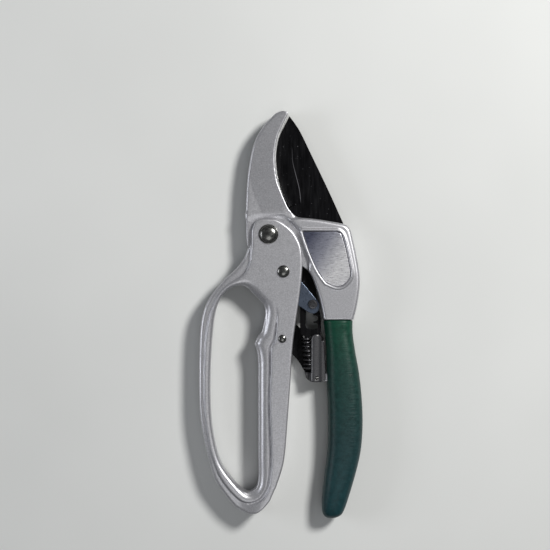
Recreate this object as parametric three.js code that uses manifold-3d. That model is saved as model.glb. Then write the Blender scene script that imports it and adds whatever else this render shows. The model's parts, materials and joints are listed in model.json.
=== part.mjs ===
// A ratchet anvil pruner, lying flat with its jaw tips towards +Y and its front face up (+Z). Millimetres.
//
// Outlines are drawn about the main pivot, with Z = 0 on the tool's mid-plane. The whole group is then moved so that
// its box stands centred on the origin with its underside at Z = 0.
//
// Layers, from the mid-plane out to each face:
//   blade and its tail | link plates | catch lever (rear side only) | frame hub walls | cheeks of the loop handle
import * as THREE from "three";
import { mergeVertices } from "three/addons/utils/BufferGeometryUtils.js";
import Module from "manifold-3d";

const wasm = await Module();
wasm.setup();

// Driving dimensions.
const GAP = 0.3; // running clearance round anything that turns or is let in
const BLADE_HALF = 1.5; // half the blade's thickness
const SLOT_HALF = 1.75; // half the width of the slot that the blade turns in
const LINK_IN = 1.8; // inner and outer faces of a link plate
const LINK_OUT = 3.3;
const HUB_HALF = 4.7; // the frame between the cheeks
const FORK_HALF = 4.95; // inner faces of the cheeks
const CRESCENT_HALF = 6.0;
const RAIL_HALF = 6.2; // finger loop
const HOUSING_HALF = 6.8;
const BAR_HALF = 7.6; // outer faces of the cheeks, the bar and the grip
const TANG_HALF = 4.4;

const PIVOT = [0, 0];
const LINK_RIVET = [7.7, -19.2];
const LINK_PIN = [22.9, -36.2];
const CATCH_RIVET = [7.1, -53.9];
const CATCH_PIN = [25.6, -69.5];
const SADDLE_PIN = [25.0, -74.4];

const EYE_RADIUS = 8.2; // blade round the main pivot
const HUB_RADIUS = 12.2; // frame round the main pivot
const SWEEP_RADIUS = 39.6; // slot for the blade's heel as it turns
const PIVOT_SHANK = 3.0;
const BUSH_RADIUS = 4.1;
const INSERT_THICK = 0.7; // strip that the blade closes on

const SPRING_TOP = [19.5, -53.9];
const SPRING_BOTTOM = [21.25, -70.7];
const SPRING_RADIUS = 2.25; // centre line of the wire
const WIRE_RADIUS = 0.45;
const SPRING_TURNS = 8;

// Helpers.

// A closed outline from a start point and moves. A move of one point is a straight line, and of more a smooth curve.
function outline(start, ...moves) {
  const shape = new THREE.Shape();
  shape.moveTo(...start);
  for (const move of moves) {
    const points = move.map((p) => new THREE.Vector2(...p));
    if (points.length === 1) shape.lineTo(points[0].x, points[0].y);
    else shape.splineThru(points);
  }
  return shape;
}

// The points of an arc about a centre, from one angle to another, in degrees.
function arc([x, y], radius, from, to, steps) {
  return Array.from({ length: steps + 1 }, (_, i) => {
    const angle = THREE.MathUtils.degToRad(from + ((to - from) * i) / steps);
    return [x + radius * Math.cos(angle), y + radius * Math.sin(angle)];
  });
}

// A curve through the points, moved sideways: to the right of its direction for a positive distance.
function beside(points, distance, steps = 20) {
  const curve = new THREE.SplineCurve(points.map((p) => new THREE.Vector2(...p)));
  return Array.from({ length: steps + 1 }, (_, i) => {
    const point = curve.getPoint(i / steps);
    const along = curve.getTangent(i / steps);
    return [point.x + along.y * distance, point.y - along.x * distance];
  });
}

// Straight moves through every point of a list.
function straight(points) {
  return points.map((p) => [p]);
}

// A plate of that outline between two heights, with its edges bevelled.
function slab(shape, low, high, bevel = 0, fineness = 2) {
  return new THREE.ExtrudeGeometry(shape, {
    depth: high - low - 2 * bevel,
    bevelEnabled: bevel > 0,
    bevelThickness: bevel,
    bevelSize: bevel,
    bevelOffset: -bevel,
    bevelSegments: 2,
    curveSegments: fineness,
  }).translate(0, 0, low + bevel);
}

// A piece turned about an axis along Z. The profile is a list of [radius, height], from the axis up and back to it.
function turned([x, y], profile, sides = 28) {
  const points = profile.map(([r, z]) => new THREE.Vector2(r, z));
  return new THREE.LatheGeometry(points, sides)
    .rotateX(Math.PI / 2)
    .translate(x, y, 0);
}

function rod(at, radius, low, high, sides = 24) {
  return turned(at, [[0, low], [radius, low], [radius, high], [0, high]], sides);
}

function ring(at, outer, inner, low, high, sides = 24) {
  return turned(
    at,
    [[inner, low], [outer, low], [outer, high], [inner, high], [inner, low]],
    sides,
  );
}

function toSolid(geometry) {
  const bare = geometry.index ? geometry.toNonIndexed() : geometry.clone();
  bare.deleteAttribute("normal");
  bare.deleteAttribute("uv");
  const merged = mergeVertices(bare, 1e-4);
  return new wasm.Manifold(
    new wasm.Mesh({
      numProp: 3,
      vertProperties: merged.attributes.position.array,
      triVerts: new Uint32Array(merged.index.array),
    }),
  );
}

function toGeometry(solid) {
  const mesh = solid.getMesh();
  return new THREE.BufferGeometry()
    .setAttribute("position", new THREE.BufferAttribute(mesh.vertProperties, 3))
    .setIndex(new THREE.BufferAttribute(mesh.triVerts, 1))
    .toNonIndexed();
}

function joined(...geometries) {
  const solids = geometries.map(toSolid);
  return toGeometry(solids.reduce((a, b) => a.add(b)));
}

function cut(geometry, ...tools) {
  return toGeometry(
    tools.reduce((solid, tool) => solid.subtract(toSolid(tool)), toSolid(geometry)),
  );
}

const pruner = new THREE.Group();

function piece(name, geometry, color, roughness, metalness) {
  geometry.computeVertexNormals();
  const material = new THREE.MeshStandardMaterial({ color, roughness, metalness });
  const mesh = new THREE.Mesh(geometry, material);
  mesh.name = name;
  pruner.add(mesh);
}

const SILVER = [0x9ea0a3, 0.38, 0.9];
const BLACK_COATING = [0x0b0b0d, 0.22, 0.2];
const POLISHED = [0x6d7075, 0.2, 1.0];
const LINK_STEEL = [0x4b5a6e, 0.35, 0.9];
const SPRING_STEEL = [0x17181a, 0.35, 0.9];
const GRIP_VINYL = [0x1c4434, 0.5, 0.0];
const DARK_PLASTIC = [0x3a3d40, 0.55, 0.0];
const PLATE_METAL = [0xb4aebc, 0.3, 0.8];
const BRASS = [0xb09a5a, 0.35, 0.9];

// The cutting edge, from the tip down to where the blade enters the frame. The jaw curves along it.
const CUTTING_EDGE = [
  [10.8, 61.5],
  [7.6, 55.0],
  [5.2, 48.5],
  [4.1, 39.6],
  [5.1, 29.2],
  [7.5, 22.2],
  [11.0, 14.0],
];

// Anvil frame: the curved jaw, the hub, the housing on the right and the tang inside the grip, in one casting.

function crescent() {
  const inner = beside(CUTTING_EDGE, 2 * GAP + INSERT_THICK);
  return outline(
    [-11.5, 8.2],
    [[-11.7, 15.3], [-10.7, 30.9], [-8.1, 45.2], [-3.5, 54.7], [2.1, 61.2]],
    [[4.4, 63.0], [7.4, 63.8], [9.9, 63.0]],
    ...straight(inner),
    [[12.3, 10.3], [14.8, 8.4], [16.8, 7.9]],
    [[18.5, 3.0]],
    [[14.4, 4.4]],
    [[10.9, 7.8]],
    [[8.6, 9.4], [4.3, 9.9], [-0.1, 9.9], [-4.4, 9.9], [-7.4, 9.4], [-9.8, 8.2]],
  );
}

function hub() {
  return outline(
    [-11.5, 10.5],
    [[-11.4, -1.0]],
    [[-11.2, -4.2]],
    ...straight(arc(PIVOT, HUB_RADIUS, -155, -60, 10)),
    [[14.0, -14.0]],
    [[22.0, -20.0]],
    [[24.0, 6.5]],
    [[11.5, 7.8]],
    [[7.5, 12.5]],
  );
}

function housing() {
  return outline(
    [10.3, 7.7],
    [[16.8, 8.5], [25.9, 7.7], [34.6, 6.2], [38.5, 5.4]],
    [[40.8, 4.2], [42.2, 2.4]],
    [[43.4, -1.9], [46.0, -14.4], [47.2, -25.0], [45.9, -36.0], [43.8, -44.2]],
    [[28.4, -44.2]],
    [[27.6, -39.3], [25.9, -32.0], [22.9, -23.2], [20.6, -19.0]],
    [[20.5, -12.4], [19.0, -4.6], [15.1, 2.7]],
  );
}

// The grip's two sides as curves over its length.
const GRIP_RIGHT = [
  [43.7, -44.5],
  [43.7, -51.0],
  [45.0, -60.6],
  [47.0, -71.8],
  [48.4, -84.8],
  [49.0, -97.8],
  [48.1, -110.8],
  [46.0, -121.2],
  [42.7, -132.9],
  [39.2, -143.3],
  [36.6, -146.4],
  [32.6, -147.7],
];
const GRIP_LEFT = [
  [28.6, -44.5],
  [29.4, -52.3],
  [30.1, -62.2],
  [30.4, -78.3],
  [30.9, -91.3],
  [30.9, -104.3],
  [30.4, -114.1],
  [28.8, -127.1],
  [27.7, -138.5],
  [28.0, -144.3],
  [29.9, -147.0],
  [32.2, -147.7],
];

// The X of a side at a height, on straight stretches between its points.
function sideAt(points, y) {
  const i = Math.max(1, points.findIndex((p) => p[1] <= y));
  const [x0, y0] = points[i - 1];
  const [x1, y1] = points[i];
  return x0 + ((x1 - x0) * (y0 - y)) / (y0 - y1);
}

function tang(spread) {
  const inset = 3.4 - spread;
  const levels = [-62, -85, -104, -121, -134];
  const top = -42;
  const left = levels.map((y) => [sideAt(GRIP_LEFT, y) + inset, y]);
  const right = levels.map((y) => [sideAt(GRIP_RIGHT, y) - inset, y]).reverse();
  return outline(
    [28.6 + inset, top],
    left,
    [[33.8, -139.5 - spread]],
    right,
    [[43.7 - inset, top]],
  );
}

function bladeSlot() {
  return outline(
    [10.0, 14.6],
    ...straight(arc(PIVOT, EYE_RADIUS + GAP, 46, 260, 18)),
    [[-2.0, -16.0]],
    [[15.0, -36.0]],
    ...straight(arc(PIVOT, SWEEP_RADIUS, -50, 12, 12)),
    [[20.0, 16.0]],
  );
}

// The lug that stands out of the tang, through the grip, for the spring saddle.
const LUG_HALF = 1.2;

function lug(spread) {
  return outline(
    [35.0, -71.9 + spread],
    [[23.0 - spread, -71.9 + spread]],
    [[23.0 - spread, -75.6 - spread]],
    [[25.5, -76.4 - spread]],
    [[35.0, -76.4 - spread]],
  );
}

function nameplateOutline(inset) {
  return outline(
    [17.6 + inset, 1.5 - inset],
    [[35.9 - inset, 1.4 - inset]],
    [[38.0 - inset, -0.6], [40.2 - inset, -8.1], [42.3 - inset, -18.1]],
    [[42.2 - inset, -22.0], [38.9, -26.1 + inset], [35.0, -27.0 + inset], [29.8, -25.0 + inset]],
    [[25.5 + inset, -18.9], [21.6 + inset, -10.3], [18.8 + inset, -2.0]],
  );
}

const RECESS_FLOOR = 5.9;

function anvilFrame() {
  const body = joined(
    slab(crescent(), -CRESCENT_HALF, CRESCENT_HALF, 0.7),
    slab(hub(), -HUB_HALF, HUB_HALF),
    slab(housing(), -HOUSING_HALF, HOUSING_HALF, 1.2),
    slab(tang(0), -TANG_HALF, TANG_HALF, 0.8),
    slab(lug(0), -LUG_HALF, LUG_HALF),
  );
  return cut(
    body,
    slab(bladeSlot(), -SLOT_HALF, SLOT_HALF),
    rod(PIVOT, BUSH_RADIUS + GAP / 2, -10, 10),
    slab(nameplateOutline(0), RECESS_FLOOR, HOUSING_HALF + 1),
    rod(SADDLE_PIN, 0.8 + GAP, -3, 3, 16),
  );
}

piece("anvil_frame", anvilFrame(), ...SILVER);

// Anvil insert: the thin strip let into the jaw, which the edge closes on.
function insertStrip() {
  const near = beside(CUTTING_EDGE.slice(0, -1), GAP, 16);
  const far = beside(CUTTING_EDGE.slice(0, -1), GAP + INSERT_THICK, 16).reverse();
  return outline(near[0], ...straight([...near.slice(1), ...far]));
}

piece("anvil_insert", slab(insertStrip(), -5.9, 5.9), ...BRASS);

piece(
  "nameplate",
  slab(nameplateOutline(0.35), RECESS_FLOOR + 0.1, RECESS_FLOOR + 0.65, 0.15),
  ...PLATE_METAL,
);

// Grip sleeve: oval sections stacked along the handle, closed at the bottom, with a pocket for the tang.
function gripSleeve() {
  const sides = 28;
  const roundness = 2 / 2.7;
  const levels = [-44.5, -45.3, -48, -56, -66, -76, -86, -96, -106, -116, -126, -135];
  levels.push(-140.5, -143.8, -145.8, -147.0, -147.6);
  const vertices = [];
  const corner = [];
  for (const y of levels) {
    const left = sideAt(GRIP_LEFT, y);
    const right = sideAt(GRIP_RIGHT, y);
    const half = (right - left) / 2;
    const lip = y === levels[0] ? 0.7 : 0;
    const depth = Math.min(BAR_HALF, 1.02 * half + 0.1) - lip;
    for (let i = 0; i < sides; i++) {
      const angle = (2 * Math.PI * i) / sides;
      const c = Math.cos(angle);
      const s = Math.sin(angle);
      corner.push([
        (left + right) / 2 + (half - lip) * Math.sign(c) * Math.abs(c) ** roundness,
        y,
        depth * Math.sign(s) * Math.abs(s) ** roundness,
      ]);
    }
  }
  const at = (level, i) => corner[level * sides + (i % sides)];
  const first = [(28.6 + 43.7) / 2, levels[0], 0];
  const last = [32.4, -147.7, 0];
  for (let i = 0; i < sides; i++) {
    vertices.push(first, at(0, i + 1), at(0, i));
    vertices.push(last, at(levels.length - 1, i), at(levels.length - 1, i + 1));
    for (let level = 1; level < levels.length; level++) {
      vertices.push(at(level - 1, i), at(level - 1, i + 1), at(level, i));
      vertices.push(at(level, i), at(level - 1, i + 1), at(level, i + 1));
    }
  }
  const geometry = new THREE.BufferGeometry();
  const flat = new Float32Array(vertices.flat());
  geometry.setAttribute("position", new THREE.BufferAttribute(flat, 3));
  return cut(
    geometry,
    slab(tang(GAP), -TANG_HALF - GAP, TANG_HALF + GAP),
    slab(lug(GAP), -LUG_HALF - GAP, LUG_HALF + GAP),
  );
}

piece("grip_sleeve", gripSleeve(), ...GRIP_VINYL);

// Main pivot: a domed rivet through a bush, closed over a washer let into the rear cheek.
const WASHER_FLOOR = -6.4;

piece(
  "pivot_rivet",
  turned(PIVOT, [
    [0, -7.5],
    [PIVOT_SHANK, -7.5],
    [PIVOT_SHANK, 7.7],
    [5.1, 7.7],
    [5.1, 8.3],
    [4.3, 9.1],
    [2.6, 9.7],
    [0, 9.9],
  ]),
  ...POLISHED,
);
piece(
  "pivot_bush",
  ring(PIVOT, BUSH_RADIUS, PIVOT_SHANK + GAP / 2, -HUB_HALF, HUB_HALF, 28),
  ...BRASS,
);
piece(
  "pivot_washer",
  ring(PIVOT, 5.2, PIVOT_SHANK + GAP, -7.5, WASHER_FLOOR - 0.1, 28),
  ...POLISHED,
);

// Blade, with the notched tail that the link pushes on.

function tailSlot() {
  return outline(
    [19.4, -37.2],
    [[19.4, -47.2]],
    [[19.7, -48.6], [21.2, -49.4], [23.8, -49.3]],
    ...straight(arc([24.3, -47.5], 1.6, -90, 110, 5)),
    [[23.1, -45.6]],
    ...straight(arc([24.1, -43.6], 1.6, -110, 110, 5)),
    [[22.9, -41.2]],
    [[23.6, -38.9]],
    ...straight(arc(LINK_PIN, 1.9, -60, 125, 6)),
    [[20.3, -35.4]],
  );
}

function bladeOutline() {
  return outline(
    CUTTING_EDGE[0],
    CUTTING_EDGE.slice(1),
    ...straight(arc(PIVOT, EYE_RADIUS, 40, 300, 20)),
    [[9.5, -11.5], [11.4, -17.0], [12.2, -24.0], [15.2, -32.0], [16.4, -38.0]],
    [[16.4, -49.5]],
    [[16.9, -52.0], [18.7, -52.9]],
    [[18.8, -56.2]],
    [[20.4, -56.2]],
    [[20.4, -52.9]],
    [[25.0, -52.9]],
    [[26.6, -52.3], [27.2, -50.6]],
    [[27.2, -43.0]],
    [[26.0, -37.5], [24.8, -32.0], [25.4, -27.0], [30.5, -17.0], [36.3, -6.0], [38.6, 1.0], [38.7, 5.9]],
    [[32.2, 20.4], [26.9, 31.6], [21.6, 42.6], [16.0, 54.0], [10.8, 61.5]],
  );
}

piece(
  "blade",
  cut(
    slab(bladeOutline(), -BLADE_HALF, BLADE_HALF),
    rod(PIVOT, BUSH_RADIUS + GAP / 2, -3, 3, 28),
    slab(tailSlot(), -3, 3),
  ),
  ...BLACK_COATING,
);

// Loop handle: a rail round the finger hole, and a bar that forks into two cheeks over the frame's hub.

function rail() {
  const shape = outline(
    [-11.4, -6.0],
    [[-11.9, -10.0], [-13.4, -13.6], [-17.4, -18.5], [-23.1, -23.7], [-31.2, -34.1], [-34.7, -44.5],
      [-35.8, -60.1], [-36.0, -80.0], [-35.4, -93.9], [-33.3, -106.9], [-30.9, -117.3], [-27.3, -127.7],
      [-19.8, -138.1], [-15.3, -142.3], [-10.2, -144.7]],
    [[-6.2, -144.2], [-2.6, -141.6], [0.8, -137.6]],
    [[4.0, -130.0]],
    [[5.0, -60.0]],
    [[6.0, -30.0]],
    [[-4.0, -14.0]],
  );
  const hole = outline(
    [-5.3, -117.8],
    [[-5.2, -125.1], [-6.1, -130.3], [-9.4, -133.3], [-13.0, -132.6], [-18.3, -127.7], [-25.2, -117.3],
      [-29.0, -101.7], [-30.2, -86.1], [-30.1, -68.0], [-28.9, -49.7], [-27.3, -39.3], [-24.0, -31.7],
      [-19.0, -27.6], [-14.8, -26.6], [-11.2, -27.6], [-6.1, -32.4], [-2.7, -36.2], [-1.7, -41.0],
      [-3.4, -49.7], [-5.5, -52.8], [-7.3, -56.5]],
    [[-6.0, -60.5], [-5.3, -65.8]],
  );
  shape.holes.push(hole);
  return shape;
}

function bar() {
  return outline(
    [-8.7, -6.0],
    [[-8.7, 1.8]],
    [[-7.0, 6.4], [-4.4, 7.6], [-0.1, 8.1], [4.3, 7.4], [8.6, 4.9], [12.9, 1.0], [16.0, -4.6], [17.3, -10.3],
      [17.4, -18.0], [16.4, -28.9], [14.2, -44.5], [12.5, -57.5], [11.2, -77.3], [9.5, -100.7],
      [8.6, -112.1], [7.1, -120.8], [3.6, -131.4]],
    [[1.0, -133.6]],
    [[-0.2, -129.3], [1.3, -117.8], [0.7, -100.0], [0.3, -86.1], [0.8, -70.5], [1.0, -60.0], [3.0, -54.9],
      [3.9, -48.0], [4.0, -39.5], [1.5, -32.5], [-4.0, -26.0], [-8.0, -21.0], [-9.6, -15.0]],
  );
}

function fork() {
  return outline(
    [30.0, 20.0],
    [[-20.0, 20.0]],
    [[-20.0, -2.6]],
    ...straight(arc(PIVOT, HUB_RADIUS + GAP + 0.05, -168, -110, 6)),
    [[-2.0, -20.0]],
    [[3.0, -34.0]],
    [[2.6, -58.0]],
    [[5.0, -64.0]],
    [[30.0, -64.0]],
  );
}

piece(
  "loop_handle",
  cut(
    joined(
      slab(rail(), -RAIL_HALF, RAIL_HALF, 0.7),
      slab(bar(), -BAR_HALF, BAR_HALF, 0.8),
    ),
    slab(fork(), -FORK_HALF, FORK_HALF),
    rod(PIVOT, PIVOT_SHANK + GAP, -10, 10),
    rod(PIVOT, 5.2 + GAP, -10, WASHER_FLOOR),
    rod(LINK_RIVET, 1.9 + GAP, -10, 10, 20),
    rod(CATCH_RIVET, 1.3 + GAP, -10, 10, 20),
  ),
  ...SILVER,
);

// A domed rivet whose rear end is flush with the bar.
function domedRivet(at, shank, head, height) {
  return turned(
    at,
    [
      [0, -BAR_HALF + 0.1],
      [shank, -BAR_HALF + 0.1],
      [shank, BAR_HALF + 0.1],
      [head, BAR_HALF + 0.1],
      [head, BAR_HALF + 0.1 + 0.3 * height],
      [0.72 * head, BAR_HALF + 0.1 + 0.8 * height],
      [0, BAR_HALF + 0.1 + height],
    ],
    24,
  );
}

piece("link_rivet", domedRivet(LINK_RIVET, 1.9, 3.2, 1.5), ...POLISHED);
piece("catch_rivet", domedRivet(CATCH_RIVET, 1.3, 2.1, 1.1), ...POLISHED);
for (const [name, side] of [["front", 1], ["rear", -1]]) {
  const faces = [side * (LINK_OUT + 0.2), side * (FORK_HALF - 0.1)].sort((a, b) => a - b);
  piece(`link_spacer_${name}`, ring(LINK_RIVET, 3.6, 1.9 + GAP, ...faces), ...POLISHED);
}
piece(
  "catch_spacer",
  ring(CATCH_RIVET, 2.7, 1.3 + GAP, -2.8, FORK_HALF - 0.1, 20),
  ...DARK_PLASTIC,
);

// Ratchet link: two plates and the pin that drops into a notch of the blade's tail.

function linkOutline() {
  const shape = outline(
    [10.6, -16.6],
    [[25.2, -34.1]],
    [[26.3, -35.8], [26.5, -38.0], [25.3, -40.2], [23.0, -41.1], [20.6, -40.3]],
    [[10.4, -33.5]],
    [[6.0, -29.5], [3.4, -24.5], [3.0, -20.0], [4.3, -16.9], [7.2, -15.4], [10.6, -16.6]],
  );
  for (const [centre, radius] of [[LINK_RIVET, 1.9 + GAP], [LINK_PIN, 1.5 + GAP / 2]]) {
    const hole = new THREE.Path();
    hole.absarc(...centre, radius, 0, 2 * Math.PI);
    shape.holes.push(hole);
  }
  return shape;
}

piece("link_plate_front", slab(linkOutline(), LINK_IN, LINK_OUT, 0, 10), ...LINK_STEEL);
piece("link_plate_rear", slab(linkOutline(), -LINK_OUT, -LINK_IN, 0, 10), ...LINK_STEEL);
piece(
  "link_pin",
  turned(
    LINK_PIN,
    [
      [0, -4.6],
      [2.0, -4.6],
      [2.4, -4.2],
      [2.4, -LINK_OUT - 0.1],
      [1.5, -LINK_OUT - 0.1],
      [1.5, LINK_OUT + 0.1],
      [2.4, LINK_OUT + 0.1],
      [2.4, 4.2],
      [2.0, 4.6],
      [0, 4.8],
    ],
    24,
  ),
  ...SPRING_STEEL,
);

// Safety catch: a lever behind the spring, shown let go. Turned up, its hook closes round the catch pin.

function catchOutline() {
  return outline(
    [9.8, -46.8],
    [[14.0, -46.8], [17.0, -49.6], [18.2, -54.0], [19.4, -60.5], [21.2, -67.0], [22.3, -71.5]],
    [[23.0, -74.1]],
    [[24.8, -72.5]],
    [[26.0, -73.8]],
    [[23.3, -76.1]],
    [[19.7, -72.8], [15.8, -66.3], [12.7, -62.9], [6.3, -57.4]],
    [[3.9, -55.6], [3.6, -52.9], [4.8, -49.6], [7.0, -47.5], [9.8, -46.8]],
  );
}

piece(
  "catch_lever",
  cut(
    slab(catchOutline(), -4.6, -3.1, 0, 3),
    rod(CATCH_RIVET, 1.3 + GAP, -6, 0, 20),
  ),
  ...BLACK_COATING,
);

// Spring saddle: straddles the lug, holds the foot of the spring and carries the catch pin behind it.

function saddleOutline() {
  return outline(
    [18.8, -71.6],
    [[21.9, -71.6]],
    [[21.9, -56.0]],
    [[22.3, -53.2], [24.4, -51.8], [27.2, -52.5], [28.8, -55.0]],
    [[29.8, -75.0]],
    [[28.6, -76.4], [22.0, -76.4], [19.4, -74.4]],
  );
}

// Room in the saddle's top for the blade's tail as it swings out.
function tailWay() {
  return outline([15.0, -50.0], [[15.0, -55.2]], [[29.0, -55.2]], [[29.0, -50.0]]);
}

// A straight rod between two points in the mid-plane.
function rodAlong([x0, y0], [x1, y1], radius, sides) {
  const along = new THREE.Vector3(x1 - x0, y1 - y0, 0);
  const turn = new THREE.Quaternion().setFromUnitVectors(
    new THREE.Vector3(0, 1, 0),
    along.clone().normalize(),
  );
  return new THREE.CylinderGeometry(radius, radius, along.length(), sides)
    .applyQuaternion(turn)
    .translate((x0 + x1) / 2, (y0 + y1) / 2, 0);
}

piece(
  "spring_saddle",
  cut(
    slab(saddleOutline(), -2.8, 4.2, 0.4),
    rodAlong([18.9, -49.0], [21.35, -71.5], SPRING_RADIUS + WIRE_RADIUS + GAP, 24),
    slab(tailWay(), -BLADE_HALF - GAP, BLADE_HALF + GAP),
    slab(lug(GAP), -LUG_HALF - GAP, LUG_HALF + GAP),
    rod(SADDLE_PIN, 0.8 + GAP / 2, -5, 5, 16),
    rod(CATCH_PIN, 1.1 + GAP / 2, -5, 0.1, 16),
  ),
  ...DARK_PLASTIC,
);
piece("saddle_pin", rod(SADDLE_PIN, 0.8, -2.7, 4.5, 16), ...POLISHED);
piece("catch_pin", rod(CATCH_PIN, 1.1, -5.0, 0, 16), ...POLISHED);

// Opening spring, between the blade's tail and the saddle.

class Helix extends THREE.Curve {
  getPoint(t, target = new THREE.Vector3()) {
    const angle = 2 * Math.PI * SPRING_TURNS * t;
    const x = SPRING_TOP[0] + (SPRING_BOTTOM[0] - SPRING_TOP[0]) * t;
    const y = SPRING_TOP[1] + (SPRING_BOTTOM[1] - SPRING_TOP[1]) * t;
    return target.set(
      x + SPRING_RADIUS * Math.cos(angle),
      y,
      SPRING_RADIUS * Math.sin(angle),
    );
  }
}

const wire = new THREE.Shape();
wire.absarc(0, 0, WIRE_RADIUS, 0, 2 * Math.PI);
piece(
  "opening_spring",
  new THREE.ExtrudeGeometry(wire, {
    steps: 12 * SPRING_TURNS,
    curveSegments: 3,
    extrudePath: new Helix(),
    bevelEnabled: false,
  }),
  ...SPRING_STEEL,
);

// The whole tool centred on the origin, with its underside at Z = 0.
const box = new THREE.Box3().setFromObject(pruner);
const middle = box.getCenter(new THREE.Vector3());
pruner.position.set(-middle.x, -middle.y, -box.min.z);

export default pruner;
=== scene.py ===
"""A ratchet anvil pruner lying on a pale floor, seen straight down on its front face.

Shapes are drawn in millimetres about the main pivot, with z = 0 on the tool's mid-plane, and each finished
mesh is moved to the row frame in metres. Castings are solids of signed distance (negative inside) on a grid
of points, so that their edges and joins are rounded as a casting's are. Plates are cut outlines, and rivets
are turned profiles.
"""

import contextlib
import json
import math

import bmesh
import bpy
import numpy as np
import openvdb
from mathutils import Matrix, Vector, geometry

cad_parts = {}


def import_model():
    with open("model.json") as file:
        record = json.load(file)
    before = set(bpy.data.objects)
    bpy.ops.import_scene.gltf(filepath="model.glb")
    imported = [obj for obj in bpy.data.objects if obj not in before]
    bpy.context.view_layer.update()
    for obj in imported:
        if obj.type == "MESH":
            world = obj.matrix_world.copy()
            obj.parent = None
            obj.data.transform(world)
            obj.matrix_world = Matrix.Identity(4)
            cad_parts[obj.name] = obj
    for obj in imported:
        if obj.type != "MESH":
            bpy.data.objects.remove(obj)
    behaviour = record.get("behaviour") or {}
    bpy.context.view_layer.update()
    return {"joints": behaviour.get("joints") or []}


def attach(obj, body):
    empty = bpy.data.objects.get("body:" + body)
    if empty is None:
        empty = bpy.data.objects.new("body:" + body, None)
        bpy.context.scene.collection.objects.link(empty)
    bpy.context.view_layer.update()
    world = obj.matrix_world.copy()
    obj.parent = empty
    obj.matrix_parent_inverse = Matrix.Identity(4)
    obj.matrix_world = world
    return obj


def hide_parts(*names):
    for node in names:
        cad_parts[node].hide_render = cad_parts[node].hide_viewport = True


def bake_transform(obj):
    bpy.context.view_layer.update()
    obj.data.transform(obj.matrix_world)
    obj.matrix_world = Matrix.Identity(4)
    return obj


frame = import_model()

JOINTS = {j["name"]: j for j in frame["joints"]}
ORIGIN = np.array(JOINTS["handle_open"]["pos_m"])  # main pivot, on the mid-plane
MM = 0.001


def joint_at(name):
    """Where a joint's axis crosses the mid-plane, in millimetres about the main pivot."""
    return tuple((np.array(JOINTS[name]["pos_m"]) - ORIGIN)[:2] / MM)


PIVOT = (0.0, 0.0)
LINK_RIVET = joint_at("pawl_swing")
CATCH_RIVET = joint_at("catch_swing")
LINK_PIN = (22.9, -36.2)
CATCH_PIN = (25.6, -69.5)
SADDLE_PIN = (25.0, -74.4)

# Half thicknesses
BLADE_HALF = 1.5
SLOT_HALF = 1.75  # of the slot that the blade runs in
HUB_HALF = 4.7
FORK_HALF = 4.95  # of the gap between the loop handle's cheeks
CRESCENT_HALF = 6.0
INSERT_HALF = 5.8
HOUSING_HALF = 6.8
BAR_HALF = 7.6
TANG_HALF = 4.4
LUG_HALF = 1.2
FLANGE_HALF = 5.5  # the low rim outside the groove that runs round the loop
RING_HALF = 6.7  # the bead between the groove and the finger hole

LINK_IN, LINK_OUT = 1.8, 3.3  # the two faces of a link plate
SADDLE_LOW, SADDLE_HIGH = -2.8, 4.2
WASHER_FLOOR = -6.4  # bottom of the rear washer's recess
PLATE_FLOOR = 5.9  # bottom of the nameplate's recess
THROUGH = 20.0  # beyond every face, for a cut that goes right through
DEEP_INSIDE = -9.0  # a signed distance that keeps all of a solid
GAP = 0.3  # between pieces that meet

EYE_RADIUS = 8.2  # of the blade round the pivot
HUB_RADIUS = 12.2
SWEEP_RADIUS = 39.6  # of the blade's heel as it swings
PIVOT_SHANK = 3.0
BUSH_RADIUS = 4.1

HOUSING_FOOT = -44.2
GRIP_TOP, GRIP_FOOT = -44.5, -147.7
TANG_INSET = 3.4  # from the grip's sides to the tang's

SPRING_TOP = (19.5, -53.9)
SPRING_BOTTOM = (21.25, -70.7)
SPRING_RADIUS = 2.25
WIRE_RADIUS = 0.45
SPRING_TURNS = 8

GRID = 0.4  # spacing of the grid that a casting is worked out on
CORNER = math.radians(40)  # a sharper bend than this is a corner
FLAT = 0.01  # a smaller bend than this, in radians, is none


# -------------------- outlines


def smooth(points, steps=8):
    """Points along a smooth curve through the given ones."""
    p = np.array(points, float)
    out = []
    last = len(p) - 1
    for i in range(last):
        a, b, c, d = p[max(i - 1, 0)], p[i], p[i + 1], p[min(i + 2, last)]
        for k in range(steps):
            t = k / steps
            m0, m1 = (c - a) / 2, (d - b) / 2
            h = (2 * t**3 - 3 * t**2 + 1, t**3 - 2 * t**2 + t, 3 * t**2 - 2 * t**3, t**3 - t**2)
            out.append(h[0] * b + h[1] * m0 + h[2] * c + h[3] * m1)
    return np.array([*out, p[last]])


def outline(start, *moves):
    """A closed outline. A move of one point is a straight line, and of more a smooth curve through them."""
    points = [np.array(start, float)]
    for move in moves:
        if len(move) == 1:
            points.append(np.array(move[0], float))
        else:
            points += list(smooth([points[-1], *move]))[1:]
    if np.allclose(points[0], points[-1]):
        points.pop()
    return np.array(points)


def arc(centre, radius, start, end, steps):
    """Moves round an arc, each a straight line, with the angles in degrees."""
    angles = np.radians(np.linspace(start, end, steps + 1))
    return [[(centre[0] + radius * math.cos(a), centre[1] + radius * math.sin(a))] for a in angles]


def beside(points, distance, steps=8):
    """A smooth curve through the points, moved to the right of its direction."""
    curve = smooth(points, steps)
    along = np.gradient(curve, axis=0)
    along /= np.linalg.norm(along, axis=1)[:, None]
    return curve + distance * np.column_stack([along[:, 1], -along[:, 0]])


def lines(points):
    """Moves from point to point, each a straight line."""
    return [[tuple(p)] for p in points]


def circle(centre, radius, steps=48):
    return np.array([m[0] for m in arc(centre, radius, 0, 360, steps)[:-1]])


CUTTING_EDGE = [(10.8, 61.5), (7.6, 55.0), (5.2, 48.5), (4.1, 39.6), (5.1, 29.2), (7.5, 22.2), (11.0, 14.0)]
INSERT_NEAR, INSERT_FAR, JAW_FACE = 0.3, 1.0, 1.05

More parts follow.
